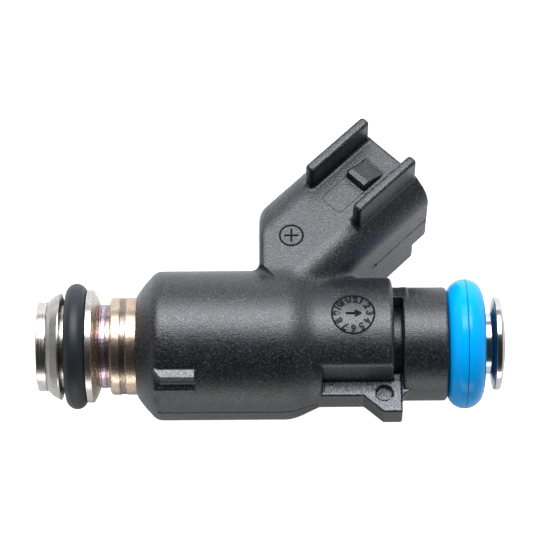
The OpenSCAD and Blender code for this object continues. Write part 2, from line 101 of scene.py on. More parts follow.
FLANGE_R, FLANGE_Z, FLANGE_TOP = 5.24, 51.2, 52.1
FILTER_RIM_R, FILTER_STEP, FILTER_CONE = 3.3, 0.3, 0.9
UPPER_RING_R, UPPER_RING_D = 7.325, 4.16
MESH_R, MESH_T, MESH_Z, MESH_TOP = 1.78, 0.12, 40.0, 49.0
SPRING_COILS, SPRING_WIRE, SPRING_R, VALVE_LIFT = 9, 0.45, 1.6, 0.1
WINDING_R, WINDING_CORE_R, WINDING_Z, WINDING_TOP = 6.3, 4.35, 15.0, 26.4

def place_object(name, data):
    made = bpy.data.objects.new(name, data)
    bpy.context.scene.collection.objects.link(made)
    return made


# -------------------- camera: seen square to the axis
CAMERA_TURN = math.radians(29.3)
CAMERA_ROLL = math.radians(0.41)
CAMERA_DISTANCE = 0.271
LOOK_Z, LOOK_UP = 0.02606, 0.00847
UP = Vector((math.cos(CAMERA_TURN), math.sin(CAMERA_TURN), 0))
TOWARD = Vector((-math.sin(CAMERA_TURN), math.cos(CAMERA_TURN), 0))
AXIS = Vector((0, 0, 1))
FIN_OUT = (math.cos(FIN_TURN), math.sin(FIN_TURN), 0)
FIN_SIDE = (-math.sin(FIN_TURN), math.cos(FIN_TURN), 0)

# -------------------- fineness and looks
BODY_TRIANGLES = 180000
BODY_MARGIN = 0.7  # room round the moulded body in its grid, in millimetres
RING_BREAKUP = 0.02  # share of x that breaks up perfect turning rings
NYLON_BASE, NYLON_SPECK = (0.0048, 0.0051, 0.0064), (0.07, 0.076, 0.088)
# painted sheen: the pale grain colours of the sparked ledges on the fin's side stand in for the light those
# faces catch
SPARK_SHEEN_DARK, SPARK_SHEEN_PALE = (0.02, 0.021, 0.024), (0.2, 0.21, 0.23)
SPARK_SHEEN_FROM = 0.0004  # distance in front of the fin's plane where the sparked ledges start, in metres
STAIN_COLOUR, WORN_COLOUR = (0.2, 0.13, 0.12), (0.66, 0.6, 0.56)
LAMP_COLOUR = (0.93, 0.965, 1)
FLOOR_DEPTH, FLOOR_HALF, FLOOR_TONE = 0.0175, 0.6, (0.78, 0.78, 0.78, 1)


def make_camera():
    data = bpy.data.cameras.new("Camera")
    data.sensor_width = 36
    data.lens = 160
    camera = place_object("Camera", data)
    right = AXIS * math.cos(CAMERA_ROLL) - UP * math.sin(CAMERA_ROLL)
    up = AXIS * math.sin(CAMERA_ROLL) + UP * math.cos(CAMERA_ROLL)
    target = AXIS * (LOOK_Z + LOOK_UP * math.sin(CAMERA_ROLL)) + UP * LOOK_UP * math.cos(CAMERA_ROLL)
    place = target + TOWARD * CAMERA_DISTANCE
    turn = Matrix((right, up, TOWARD)).transposed()
    camera.matrix_world = Matrix.Translation(place) @ turn.to_4x4()
    data.clip_start, data.clip_end = 0.01, 10
    bpy.context.scene.camera = camera


# -------------------- node helpers
def link(tree, a, b):
    tree.links.new(a, b)


def math_node(tree, operation, a, b=None):
    node = tree.nodes.new("ShaderNodeMath")
    node.operation = operation
    for i, value in enumerate((a, b)):
        if value is None:
            continue
        if isinstance(value, (int, float)):
            node.inputs[i].default_value = value
        else:
            link(tree, value, node.inputs[i])
    return node.outputs[0]


def dot_node(tree, vector, direction):
    node = tree.nodes.new("ShaderNodeVectorMath")
    node.operation = "DOT_PRODUCT"
    link(tree, vector, node.inputs[0])
    node.inputs[1].default_value = direction
    return node.outputs["Value"]


def ramp_node(tree, value, stops):
    node = tree.nodes.new("ShaderNodeValToRGB")
    node.color_ramp.interpolation = "LINEAR"
    while len(node.color_ramp.elements) < len(stops):
        node.color_ramp.elements.new(0.5)
    for element, (place, colour) in zip(node.color_ramp.elements, stops):
        element.position = place
        element.color = (*colour, 1)
    link(tree, value, node.inputs[0])
    return node.outputs[0]


def range_node(tree, value, low, high, to_low, to_high, smooth=False):
    node = tree.nodes.new("ShaderNodeMapRange")
    node.interpolation_type = "SMOOTHSTEP" if smooth else "LINEAR"
    link(tree, value, node.inputs["Value"])
    for name, number in (("From Min", low), ("From Max", high), ("To Min", to_low), ("To Max", to_high)):
        node.inputs[name].default_value = number
    return node.outputs[0]


def noise_node(tree, vector, scale, detail=2.0, roughness=0.5):
    node = tree.nodes.new("ShaderNodeTexNoise")
    node.inputs["Scale"].default_value = scale
    node.inputs["Detail"].default_value = detail
    node.inputs["Roughness"].default_value = roughness
    link(tree, vector, node.inputs["Vector"])
    return node.outputs["Fac"]


def mix_colour(tree, factor, a, b):
    node = tree.nodes.new("ShaderNodeMix")
    node.data_type = "RGBA"
    sockets = [s for s in node.inputs if s.enabled]
    for socket, value in zip(sockets, (factor, a, b)):
        if isinstance(value, (int, float)):
            socket.default_value = value
        elif isinstance(value, tuple):
            socket.default_value = (*value, 1)
        else:
            link(tree, value, socket)
    return next(s for s in node.outputs if s.enabled)


def bump_node(tree, height, strength, distance, normal=None):
    node = tree.nodes.new("ShaderNodeBump")
    node.inputs["Strength"].default_value = strength
    node.inputs["Distance"].default_value = distance
    link(tree, height, node.inputs["Height"])
    if normal is not None:
        link(tree, normal, node.inputs["Normal"])
    return node.outputs["Normal"]


def new_material(name, **sockets):
    """A principled material and the tree, shader and place coordinates that its nodes start from."""
    material = bpy.data.materials.new(name)
    material.use_nodes = True
    tree = material.node_tree
    shader = tree.nodes["Principled BSDF"]
    for socket, value in sockets.items():
        shader.inputs[socket.replace("_", " ")].default_value = value
    place = tree.nodes.new("ShaderNodeTexCoord").outputs["Object"]
    return material, tree, shader, place


def wire_up(tree, shader, colour, rough, normal):
    link(tree, colour, shader.inputs["Base Color"])
    link(tree, rough, shader.inputs["Roughness"])
    link(tree, normal, shader.inputs["Normal"])


def ring_place(tree, place):
    """Coordinates that run round the axis (radius, a little of x, height), then the radius and the height."""
    parts = tree.nodes.new("ShaderNodeSeparateXYZ")
    link(tree, place, parts.inputs[0])
    x, y, z = parts.outputs
    squares = math_node(tree, "ADD", math_node(tree, "MULTIPLY", x, x), math_node(tree, "MULTIPLY", y, y))
    radius = math_node(tree, "SQRT", squares)
    joined = tree.nodes.new("ShaderNodeCombineXYZ")
    link(tree, radius, joined.inputs[0])
    link(tree, math_node(tree, "MULTIPLY", x, RING_BREAKUP), joined.inputs[1])
    link(tree, z, joined.inputs[2])
    return joined.outputs[0], radius, z


# -------------------- materials
def nylon(name="moulded_nylon", base=NYLON_BASE, speck=NYLON_SPECK, gloss=0.6, face=None):
    """Black glass-filled nylon: satin, finely pitted, with pale flecks of glass near the surface.

    Ledges that turn to the given side have the coarser grain of a sparked mould, in a paler colour that is
    painted sheen for the light those faces catch."""
    material, tree, shader, place = new_material(name, Specular_IOR_Level=gloss)
    grain = noise_node(tree, place, 6400, 2, 0.6)
    flecks = noise_node(tree, place, 6800, 1, 0.4)
    cloud = noise_node(tree, place, 260, 2)
    toned = mix_colour(tree, cloud, base, tuple(1.5 * c for c in base))
    fleck_mask = range_node(tree, flecks, 0.57, 0.68, 0, 0.8)
    if face is not None:
        normal = tree.nodes.new("ShaderNodeNewGeometry").outputs["Normal"]
        turned = range_node(tree, dot_node(tree, normal, face), 0.9, 0.97, 0, 1)
        below = math_node(tree, "LESS_THAN", dot_node(tree, place, FIN_OUT), -FLAT_X * MM)
        front = math_node(tree, "GREATER_THAN", dot_node(tree, place, face), SPARK_SHEEN_FROM)
        sheen_face = math_node(tree, "MULTIPLY", turned, math_node(tree, "MULTIPLY", below, front))
        # painted sheen: ledges turned to the given side get a paler grain colour for the light they catch
        sheen_grain = mix_colour(tree, range_node(tree, grain, 0.4, 0.62, 0, 1), SPARK_SHEEN_DARK, SPARK_SHEEN_PALE)
        toned = mix_colour(tree, sheen_face, toned, sheen_grain)
    flecked = mix_colour(tree, fleck_mask, toned, speck)
    fine_rough = range_node(tree, grain, 0.36, 0.64, 0.22, 0.4)
    broad_rough = range_node(tree, cloud, 0, 1, -0.03, 0.05)
    rough = math_node(tree, "ADD", fine_rough, broad_rough)
    pits = bump_node(tree, grain, 0.9, 0.00005)
    waves = noise_node(tree, place, 1500, 2)
    wire_up(tree, shader, flecked, rough, bump_node(tree, waves, 0.2, 0.00003, pits))
    return material


def turned_metal(name, colour, rough=(0.16, 0.3), lines=9000, depth=0.000004, tone=0.12):
    """Metal turned on a lathe: fine rings round the axis, with a little wear."""
    material, tree, shader, place = new_material(name, Metallic=1.0)
    around, _, _ = ring_place(tree, place)
    rings = noise_node(tree, around, lines, 2, 0.7)
    wear = noise_node(tree, place, 900, 3)
    low = tuple(c * (1 - tone) for c in colour)
    high = tuple(min(1, c * (1 + tone)) for c in colour)
    toned = mix_colour(tree, range_node(tree, wear, 0.3, 0.7, 0, 1), low, high)
    ring_rough = range_node(tree, rings, 0.3, 0.7, *rough)
    wear_rough = range_node(tree, wear, 0.4, 0.8, 0, 0.06)
    rough_sum = math_node(tree, "ADD", ring_rough, wear_rough)
    wire_up(tree, shader, toned, rough_sum, bump_node(tree, rings, 0.6, depth))
    return material


def welded_metal(name, bands, rough=(0.2, 0.36), stain=0.45):
    """Turned steel whose colour changes in bands along the axis: heat tint beside a laser weld on the neck
    and shell, and on the inlet a band of painted shade under the flange.
    """
    material, tree, shader, place = new_material(name, Metallic=1.0)
    around, _, height = ring_place(tree, place)
    centred = math_node(tree, "SUBTRACT", noise_node(tree, place, 700, 3), 0.5)
    wander = math_node(tree, "MULTIPLY", centred, 0.0005)
    shifted = math_node(tree, "ADD", height, wander)
    low, high = bands[0][0] * MM, bands[-1][0] * MM
    spread = range_node(tree, shifted, low, high, 0, 1)
    stops = [((z * MM - low) / (high - low), colour) for z, colour in bands]
    tint = ramp_node(tree, spread, stops)
    wear = noise_node(tree, place, 5200, 3, 0.65)
    stained = mix_colour(tree, range_node(tree, wear, 0.5, 0.62, 0, stain), tint, STAIN_COLOUR)
    worn = mix_colour(tree, range_node(tree, wear, 0.38, 0.3, 0, 0.5), stained, WORN_COLOUR)
    turned = bump_node(tree, noise_node(tree, around, 7000, 2, 0.7), 0.4, 0.000003)
    normal = bump_node(tree, wear, 0.4, 0.000008, turned)
    wire_up(tree, shader, worn, range_node(tree, wear, 0.3, 0.7, *rough), normal)
    return material


def rubber(name, colour, shade, rough=(0.3, 0.42), gloss=0.5, seam=None):
    """Moulded seal rubber: smooth, with a soft tone change, a faint skin texture and a dark moulding seam.

    The seam is given by its height, its half width and the radius that it lies outside, in millimetres."""
    material, tree, shader, place = new_material(name, Specular_IOR_Level=gloss)
    cloud = noise_node(tree, place, 350, 2)
    skin = noise_node(tree, place, 4200, 3)
    tone = mix_colour(tree, cloud, colour, shade)
    if seam is not None:
        seam_z, seam_half, seam_r = seam
        _, radius, height = ring_place(tree, place)
        off = math_node(tree, "ABSOLUTE", math_node(tree, "SUBTRACT", height, seam_z * MM))
        near = range_node(tree, off, 0.6 * seam_half * MM, 1.6 * seam_half * MM, 0.85, 0)
        outer = math_node(tree, "GREATER_THAN", radius, seam_r * MM)
        dark = tuple(0.12 * c for c in shade)
        tone = mix_colour(tree, math_node(tree, "MULTIPLY", near, outer), tone, dark)
    skin_rough = range_node(tree, skin, 0.3, 0.7, *rough)
    wire_up(tree, shader, tone, skin_rough, bump_node(tree, skin, 0.25, 0.000012))
    return material


def plain_metal(name, colour, rough=(0.22, 0.4), grain=2600):
    """Stamped or drawn metal: even, with small scratches and tone changes."""
    material, tree, shader, place = new_material(name, Metallic=1.0)
    fine = noise_node(tree, place, grain, 4, 0.65)
    low = tuple(0.85 * c for c in colour)
    toned, fine_rough = mix_colour(tree, fine, low, colour), range_node(tree, fine, 0.3, 0.7, *rough)
    wire_up(tree, shader, toned, fine_rough, bump_node(tree, fine, 0.3, 0.00001))
    return material


def plastic(name, colour, rough=(0.4, 0.55)):
    """Moulded nylon of an inner piece."""
    material, tree, shader, place = new_material(name)
    fine = noise_node(tree, place, 2400, 3)
    low = tuple(0.8 * c for c in colour)
    toned, fine_rough = mix_colour(tree, fine, low, colour), range_node(tree, fine, 0.3, 0.7, *rough)
    wire_up(tree, shader, toned, fine_rough, bump_node(tree, fine, 0.3, 0.00002))
    return material


# -------------------- mesh helpers
def make_object(name, points, faces, material, body=HOUSING, replaces=(), sharp=None, normals=None):
    """A piece from points in millimetres. It rides on its body and stands for the CAD nodes named."""
    mesh = bpy.data.meshes.new(name)
    mesh.from_pydata((np.asarray(points, float) * MM).tolist(), [], [tuple(f) for f in faces])
    mesh.validate()
    mesh.shade_smooth()
    if sharp is not None:
        mesh.set_sharp_from_angle(angle=math.radians(sharp))
    if normals is not None:
        mesh.normals_split_custom_set_from_vertices(normals.tolist())
    mesh.materials.append(material)
    piece = place_object(name, mesh)
    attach(piece, body)
    if replaces:
        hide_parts(*replaces)
    return piece


def rounded(corners, arc=5):
    """A closed outline from (r, z, corner radius) with an arc at each corner that has a radius."""
    out = []
    for i, (r, z, size) in enumerate(corners):
        here = np.array([r, z], float)
        back = np.array(corners[i - 1][:2], float) - here
        ahead = np.array(corners[(i + 1) % len(corners)][:2], float) - here
        back_l, ahead_l = np.linalg.norm(back), np.linalg.norm(ahead)
        back, ahead = back / back_l, ahead / ahead_l
        half = math.acos(np.clip(back @ ahead, -1, 1)) / 2
        if size <= 0 or half > 1.5:
            out.append((r, z))
            continue
        reach = min(size / math.tan(half), 0.48 * back_l, 0.48 * ahead_l)
        centre = here + (back + ahead) / np.linalg.norm(back + ahead) * reach / math.cos(half)
        first, last = here + back * reach - centre, here + ahead * reach - centre
        start = math.atan2(first[1], first[0])
        sweep = (math.atan2(last[1], last[0]) - start + math.pi) % (2 * math.pi) - math.pi
        radius = np.linalg.norm(first)
        for k in range(arc + 1):
            angle = start + sweep * k / arc
            out.append((centre[0] + radius * math.cos(angle), centre[1] + radius * math.sin(angle)))
    return out


def lathe_mesh(outline, steps=144):
    """Points and faces of a closed outline of (r, z) turned about the axis, facing outwards."""
    outline = np.array(outline, float)
    n = len(outline)
    r, z = outline[:, 0], outline[:, 1]
    area = 0.5 * np.sum(r * np.roll(z, -1) - np.roll(r, -1) * z)
    if area < 0:
        outline = outline[::-1]
    angle = np.arange(steps) * 2 * math.pi / steps
    points = np.stack([
        np.outer(np.cos(angle), outline[:, 0]),
        np.outer(np.sin(angle), outline[:, 0]),
        np.outer(np.ones(steps), outline[:, 1]),
    ], axis=-1).reshape(-1, 3)
    faces = []
    for i in range(steps):
        j = (i + 1) % steps
        for k in range(n):
            m = (k + 1) % n
            faces.append((i * n + k, j * n + k, j * n + m, i * n + m))
    return points, faces


def lathe(name, outline, material, steps=144, replaces=(), shape=None, sharp=38):
    points, faces = lathe_mesh(outline, steps)
    if shape is not None:
        points = shape(points)
    return make_object(name, points, faces, material, replaces=replaces, sharp=sharp)


def sweep_tube(path, radius, sides=6, closed=False):
    """Points and faces of a thin round bead along a path."""
    path = np.asarray(path, float)
    n = len(path)
    if closed:
        ahead = np.roll(path, -1, 0) - np.roll(path, 1, 0)
    else:
        ahead = np.gradient(path, axis=0)
    ahead /= np.linalg.norm(ahead, axis=1)[:, None]
    guide = np.array([0.267, 0.535, 0.802])
    side = np.cross(ahead, guide)
    side /= np.linalg.norm(side, axis=1)[:, None]
    other = np.cross(ahead, side)
    turn = np.arange(sides) * 2 * math.pi / sides
    points = (path[:, None] + radius * (np.cos(turn)[None, :, None] * side[:, None]
              + np.sin(turn)[None, :, None] * other[:, None])).reshape(-1, 3)
    faces = []
    for i in range(n if closed else n - 1):
        j = (i + 1) % n
        for k in range(sides):
            m = (k + 1) % sides
            faces.append((i * sides + k, i * sides + m, j * sides + m, j * sides + k))
    if not closed:
        faces.append(tuple(range(sides))[::-1])
        faces.append(tuple((n - 1) * sides + k for k in range(sides)))
    return points, faces


def join_meshes(parts):
    """One list of points and faces from several."""
    points, faces, start = [], [], 0
    for part_points, part_faces in parts:
        points.append(part_points)
        faces += [tuple(i + start for i in face) for face in part_faces]
        start += len(part_points)
    return np.concatenate(points), faces


# -------------------- the moulded body as a distance field
def blend_min(a, b, k):
    h = np.maximum(k - np.abs(a - b), 0) / k
    return np.minimum(a, b) - h * h * k * 0.25


def blend_max(a, b, k):
    return -blend_min(-a, -b, k)


def rounded_box2(x, y, half_x, half_y, radius):
    qx, qy = np.abs(x) - (half_x - radius), np.abs(y) - (half_y - radius)
    return np.hypot(np.maximum(qx, 0), np.maximum(qy, 0)) + np.minimum(np.maximum(qx, qy), 0) - radius


def barrel_radius(z):
    u = np.clip((z - TAPER_Z) / TAPER_L, 0, 1)
    return UPPER_R + (BODY_R - UPPER_R) * (1 + np.cos(np.pi * u)) / 2


def slope_plane(r, z, a, b):
    """Distance outside the line from a to b in (r, z), on the side away from the axis and the middle."""
    along = np.array(b, float) - np.array(a, float)
    along /= np.linalg.norm(along)
    return (r - a[0]) * along[1] - (z - a[1]) * along[0]


def barrel_field(r, z):
    side = r - barrel_radius(z)
    d = blend_max(side, slope_plane(r, z, (CHAMFER_R, CHAMFER_Z), (BODY_R, FULL_Z)), 0.5)
    d = blend_max(d, slope_plane(r, z, (FRONT_R, FRONT_Z), (CHAMFER_R, CHAMFER_Z)), 0.3)
    d = blend_max(d, FRONT_Z - z, 0.2)
    return blend_max(d, z - SHOULDER_Z, 0.55)


def connector_outline(x, y, inset=0.0):
    low = CONN_LOW_CORNER if inset == 0 else CONN_LOW_CORNER / 2
    radius = np.where(y > 0, CONN_CORNER - inset, low)
    return rounded_box2(x, y, CONN_HW - inset, CONN_HY - inset, radius)


def connector_field(u, y, w, z):
    """u runs across the connector, y to its latch and w along it to the mouth."""
    d = blend_max(connector_outline(u, y), w - CONN_LEN, 0.4)
    cut = np.minimum(-CONN_HY / 2 - y, w - (CONN_LEN - LIP_BACK))
    d = blend_max(d, cut, 0.3)
    return blend_max(d, ROOT_Z - z, 0.9)


def rail_field(u, y, w):
    across = np.abs(np.abs(u) - (RAIL_GAP + RAIL_T) / 2) - RAIL_T / 2
    half_h, corner = 2.8, 0.55
    along = rounded_box2(
        w - (CONN_LEN - RAIL_BACK - RAIL_LEN / 2), y - (CONN_HY + RAIL_H - half_h),
        RAIL_LEN / 2, half_h, corner)
    return blend_max(along, across, 0.5)


def ramp_field(u, y, w):
    """The latch ramp: a steep catch face, a short flat top, and a slope to the mouth."""
    thin, catch = CONN_LEN - RAMP_START, CONN_LEN - RAMP_START - RAMP_LEN
    flat = 0.75
    slope = RAMP_H / (RAMP_LEN - flat)
    top = CONN_HY + np.minimum(RAMP_H, (thin - w) * slope)
    over = (y - top) * 0.9
    d = blend_max(over, catch - w, 0.1)
    d = blend_max(d, np.abs(u) - (RAMP_W + 0.3) / 2, 0.12)
    return np.maximum(d, CONN_HY - 1 - y)


def flats_field(x, y, z):
    """Negative inside the two hollows that leave the fin standing."""
    front = np.maximum(np.maximum(x + FLAT_X, FIN_T / 2 - y), FLAT_Z - z)
    slant = (x + FLAT_BACK_X - (z - FLAT_BACK_Z)) * math.sqrt(0.5)
    back = np.maximum(np.maximum(x + FLAT_BACK_X, y + FIN_T / 2), slant)
    return np.minimum(front, back)


def fin_field(x, y, z):
    """The clip fin with its lug, the thinner web behind the lug and the dark slot at the fin's start."""
    slope = (LUG_X - FIN_X) / (LUG_Z - FIN_RUN_Z)
    edge = np.clip(FIN_X + (z - FIN_RUN_Z) * slope, FIN_X, LUG_X)
    d = (-x - edge) * 0.82
    d = blend_max(d, z - LUG_TOP, 0.3)
    d = np.maximum(d, FLAT_Z - 0.4 - z)
    d = np.maximum(d, x + FIN_ROOT_X)
    d = blend_max(d, np.abs(y) - FIN_T / 2, 0.3)
    hollow = LUG_FILLET - np.hypot(x + BACKING_R + LUG_FILLET, z - LUG_TOP - LUG_FILLET)
    web = np.maximum(hollow, np.abs(y) - WEB_T / 2)
    web = np.maximum(web, z - LUG_TOP - LUG_FILLET)
    web = np.maximum(web, LUG_TOP - 0.8 - z)
    web = np.maximum(web, np.maximum(x + FIN_ROOT_X, -x - BACKING_R - LUG_FILLET))
    d = blend_min(d, web, 0.1)
    slot_half, slot_depth, slot_end = 0.18, 0.7, 0.3
    slot = np.maximum(np.abs(z - FLAT_Z - slot_half) - slot_half, FIN_T / 2 - slot_depth - y)
    slot = np.maximum(slot, -x - FIN_X + slot_end)
    return np.maximum(d, -np.maximum(slot, x + FLAT_X))


def dimple_field(x, y, z):
    return np.maximum(np.hypot(x + DIMPLE_X, z - DIMPLE_Z) - DIMPLE_R, FIN_T / 2 - DIMPLE_DEPTH - np.abs(y))


def neck_field(x, y, r, z):
    core = np.maximum(r - CLIP_CORE_R, np.abs(z - SHOULDER_Z - CLIP_W / 2) - CLIP_W)
    backing = blend_max(r - BACKING_R, CLIP_TOP - z, 0.25)
    backing = blend_max(backing, z - BACKING_TOP, 0.4)
    web = np.maximum(np.maximum(r - BACKING_R, CLIP_WEB_X - x),
                     np.abs(z - SHOULDER_Z - CLIP_W / 2) - CLIP_W)
    return np.minimum(blend_min(core, backing, 0.3), blend_min(web, backing, 0.2))


def key_field(x, y, z):
    """The stepped key rib: a face to the latch side, a face away from the connector, and its foot."""
    overlap = 0.5
    slope = np.clip((-x - KEY_ROOT_X) / (KEY_X - KEY_ROOT_X), 0, 1) * KEY_SLOPE
    rib = blend_max(y - KEY_Y, -x - KEY_X, 0.15)
    rib = blend_max(rib, np.abs(z - (KEY_Z + KEY_TOP + slope) / 2) - (KEY_TOP - KEY_Z - slope) / 2, 0.15)
    rib = np.maximum(rib, KEY_STEP_Y - overlap - y)
    rib = np.maximum(rib, x + KEY_ROOT_X - overlap)
    run = np.hypot(KEY_FOOT_X - KEY_X, KEY_STEP_Y - KEY_FOOT_Y)
    face = ((y - KEY_STEP_Y) * (KEY_FOOT_X - KEY_X) - (x + KEY_X) * (KEY_STEP_Y - KEY_FOOT_Y)) / run
    foot = blend_max(face, -x - KEY_FOOT_X, 0.2)
    foot = blend_max(foot, np.abs(z - (KEY_Z + KEY_TOP) / 2) - (KEY_TOP - KEY_Z) / 2, 0.15)
    foot = np.maximum(foot, x + KEY_ROOT_X - overlap)
    foot = np.maximum(foot, 1.5 - y)
    return np.minimum(rib, foot)


def body_field(x, y, z):
    """Signed distance, near enough, to the moulded body's surface; negative inside."""
    cos_c, sin_c = math.cos(CONN_ANGLE), math.sin(CONN_ANGLE)
    r = np.hypot(x, y)
    u = x * cos_c - (z - CONN_Z) * sin_c
    w = x * sin_c + (z - CONN_Z) * cos_c
    cos_f, sin_f = math.cos(FIN_TURN), math.sin(FIN_TURN)
    fx, fy = x * cos_f + y * sin_f, y * cos_f - x * sin_f
    d = blend_max(barrel_field(r, z), -flats_field(fx, fy, z), 0.3)
    d = blend_min(d, key_field(x, y, z), 0.12)
    d = blend_min(d, fin_field(fx, fy, z), 0.18)
    d = blend_min(d, neck_field(fx, fy, r, z), 0.12)
    d = blend_max(d, -dimple_field(fx, fy, z), 0.08)
    arm = connector_field(u, y, w, z)
    arm = blend_min(arm, rail_field(u, y, w), 0.45)
    arm = blend_min(arm, ramp_field(u, y, w), 0.15)
    arm_start = 9
    arm = np.where(w > arm_start, arm, np.maximum(arm, arm_start - w))
    d = blend_min(d, arm, 1.1)
    core = np.minimum(np.maximum(r - SHELL_R, z - CAN_Z), r - INLET_R)
    core = np.minimum(core, np.maximum(np.maximum(r - CAN_R, CAN_Z - z), z - CAN_TOP))
    core = np.where(z < CAN_Z, r - SHELL_R, core)
    d = np.maximum(d, -core)
    socket = np.maximum(connector_outline(u, y, CONN_WALL), CONN_LEN - SOCKET_D - w)
    return blend_max(d, -socket, 0.4)


def gradient(field, points, reach=0.02):
    out = np.empty_like(points)
    for i in range(3):
        shift = np.zeros(3)
        shift[i] = reach
        ahead, back = points + shift, points - shift
        out[:, i] = (field(*ahead.T) - field(*back.T)) / (2 * reach)
    return out


def onto_surface(field, points, rounds=3, limit=0.12):
    """Moves points onto the field's zero surface along its gradient."""
    for _ in range(rounds):
        value, slope = field(*points.T), gradient(field, points)
        size = np.maximum((slope ** 2).sum(1), 0.05)
        move = np.clip(value / size, -limit, limit)
        points = points - move[:, None] * slope
    return points


def net_surface(field, low, high, step):
    """Closed quads round the field's negative side, one point in each grid cell that the surface crosses."""
    axes = [np.arange(low[i], high[i] + step, step) for i in range(3)]
    x, y, z = np.meshgrid(*axes, indexing="ij", sparse=True)
    value = np.broadcast_to(field(x, y, z), [len(a) for a in axes]).astype(np.float32)
    inside = value < 0
    offsets = [(i, j, k) for i in (0, 1) for j in (0, 1) for k in (0, 1)]
    sizes = [len(a) - 1 for a in axes]
    count = np.zeros(sizes, np.int8)
    for i, j, k in offsets:
        count += inside[i:i + sizes[0], j:j + sizes[1], k:k + sizes[2]]
    cells = np.argwhere((count > 0) & (count < 8))
    index = np.full(sizes, -1, np.int64)
    index[tuple(cells.T)] = np.arange(len(cells))
    corner = {o: value[tuple((cells + np.array(o)).T)] for o in offsets}
    total, hits = np.zeros((len(cells), 3)), np.zeros(len(cells))
    for a in offsets:
        for axis in range(3):
            if a[axis]:
                continue
            b = tuple(1 if i == axis else a[i] for i in range(3))
            crossed = (corner[a] < 0) != (corner[b] < 0)
            t = corner[a][crossed] / (corner[a][crossed] - corner[b][crossed])
            place = np.tile(np.array(a, float), (len(t), 1))
            place[:, axis] += t
            total[crossed] += place
            hits[crossed] += 1
    points = (cells + total / hits[:, None]) * step + np.array([a[0] for a in axes])
    quads = []
    for axis in range(3):
        other, third = (axis + 1) % 3, (axis + 2) % 3
        first = np.take(inside, range(sizes[axis]), axis)
        second = np.take(inside, range(1, sizes[axis] + 1), axis)
        for sign in (True, False):
            edges = np.argwhere((first != second) & (first == sign))
            keep = (edges[:, other] > 0) & (edges[:, third] > 0)
            keep &= (edges[:, other] < sizes[other]) & (edges[:, third] < sizes[third])
            edges = edges[keep]
            ring = []
            for back_other, back_third in ((0, 0), (1, 0), (1, 1), (0, 1)):
                cell = edges.copy()
                cell[:, other] -= back_other
                cell[:, third] -= back_third
                ring.append(index[tuple(cell.T)])
            ring = np.stack(ring, 1)
            quads.append(ring if sign else ring[:, ::-1])
    return points, np.concatenate(quads)


def thinned(points, quads, target):
    """The same surface with about target triangles, fewest where it is flat."""
    mesh = bpy.data.meshes.new("thinning")
    mesh.from_pydata(points.tolist(), [], quads.tolist())
    holder = place_object("thinning", mesh)
    modifier = holder.modifiers.new("thin", "DECIMATE")
    modifier.ratio = min(1.0, target / (2 * len(quads)))
    bpy.context.view_layer.update()
    made = holder.evaluated_get(bpy.context.evaluated_depsgraph_get()).to_mesh()
    out = np.array([v.co for v in made.vertices], float)
    faces = [tuple(p.vertices) for p in made.polygons]
    holder.evaluated_get(bpy.context.evaluated_depsgraph_get()).to_mesh_clear()
    bpy.data.objects.remove(holder)
    return out, faces


def make_body(material):
    step = 0.2
    low = (-LUG_X - BODY_MARGIN, -BODY_R - BODY_MARGIN, FRONT_Z - BODY_MARGIN)
    high = (CAD_HIGH.x / MM + BODY_MARGIN, CONN_HY + RAIL_H + BODY_MARGIN, BACKING_TOP + BODY_MARGIN)
    points, quads = net_surface(body_field, low, high, step)
    points = onto_surface(body_field, points)
    points, faces = thinned(points, quads, BODY_TRIANGLES)
    points = onto_surface(body_field, points, rounds=2, limit=0.05)
    slope = gradient(body_field, points, 0.03)
    slope /= np.maximum(np.linalg.norm(slope, axis=1), 1e-6)[:, None]
    return make_object("moulded_body", points, faces, material,
                       replaces=("overmold_body",), normals=slope)


# -------------------- marks and mould lines on the body
def on_barrel(x, z, lift=0.0):
    """A point on the barrel's latch side, placed along Y as the mould presses it."""
    radius = barrel_radius(np.asarray(z, float)) + lift
    return np.stack([x, np.sqrt(radius ** 2 - np.asarray(x) ** 2), z], -1)


def from_connector(u, y, w):
    cos_c, sin_c = math.cos(CONN_ANGLE), math.sin(CONN_ANGLE)
    u, y, w = np.broadcast_arrays(u, y, w)
    return np.stack([u * cos_c + w * sin_c, y, CONN_Z - u * sin_c + w * cos_c], -1)


def ring_path(radius, steps=72):
    angle = np.arange(steps) * 2 * math.pi / steps
    return radius * np.cos(angle), radius * np.sin(angle)


# -------------------- camera and materials
make_camera()
# the ledges that face the fin's side carry a painted sheen
NYLON = nylon(face=FIN_SIDE)
# painted shade: the marks' near-black, darker than the body nylon, stands in for the shade in engraved marks
# and thin grooves; the pin mark, dial, digits and mould lines are drawn in it
MARK_SHADE = nylon("mould_line", (0.002, 0.002, 0.0025), (0.006, 0.006, 0.007), 0.1)
STEEL = turned_metal("turned_steel", (0.60, 0.565, 0.52))
# painted shade: a darker copy of the turned steel, standing in for the darker reflections on the retainer's
# cone
RETAINER_STEEL = turned_metal("retainer_steel", (0.44, 0.42, 0.4), rough=(0.2, 0.34))
